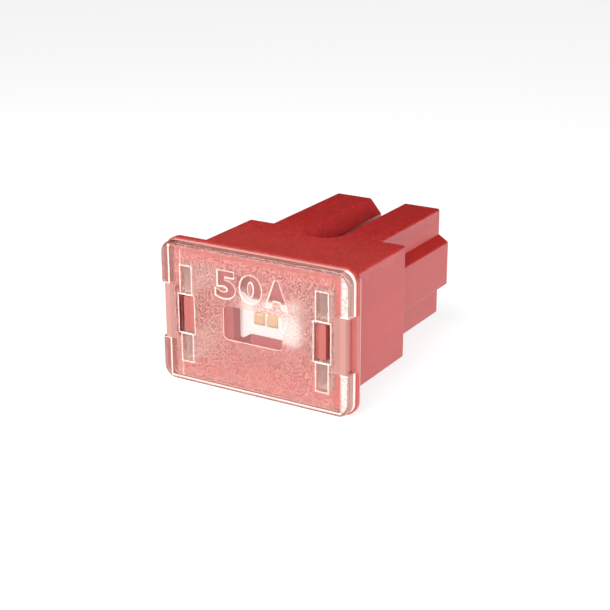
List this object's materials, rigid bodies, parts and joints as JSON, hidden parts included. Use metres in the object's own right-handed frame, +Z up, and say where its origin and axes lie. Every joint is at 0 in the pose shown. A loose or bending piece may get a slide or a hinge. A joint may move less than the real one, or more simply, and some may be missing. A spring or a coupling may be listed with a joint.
{
  "type": "automotive cartridge fuse",
  "caption": "Push-in automotive cartridge fuse: red moulded housing with two socket prongs, clear window cover held by snap tongues and a stamped slow-blow element inside.",
  "frame": {"origin": "middle of the rear face of the flange, where the fuse stops in its holder", "axes": "+X along the long side of the window, +Y from the window back through the prongs, +Z up with the fuse lying on its long side"},
  "size_m": [0.0244, 0.0312, 0.0166],
  "materials": {
    "red_nylon": "moulded red nylon, satin",
    "clear_polycarbonate": "clear plastic, frosted face with polished window and edges",
    "tinned_copper_alloy": "bright tin plating over copper alloy strip, bare copper at the claws",
    "tin": "dull soft tin"
  },
  "bodies": {
    "root": {"housing": "red_nylon", "clear_cover": "clear_polycarbonate", "fuse_element": "tinned_copper_alloy", "tin_pellet": "tin"}
  },
  "joints": []
}
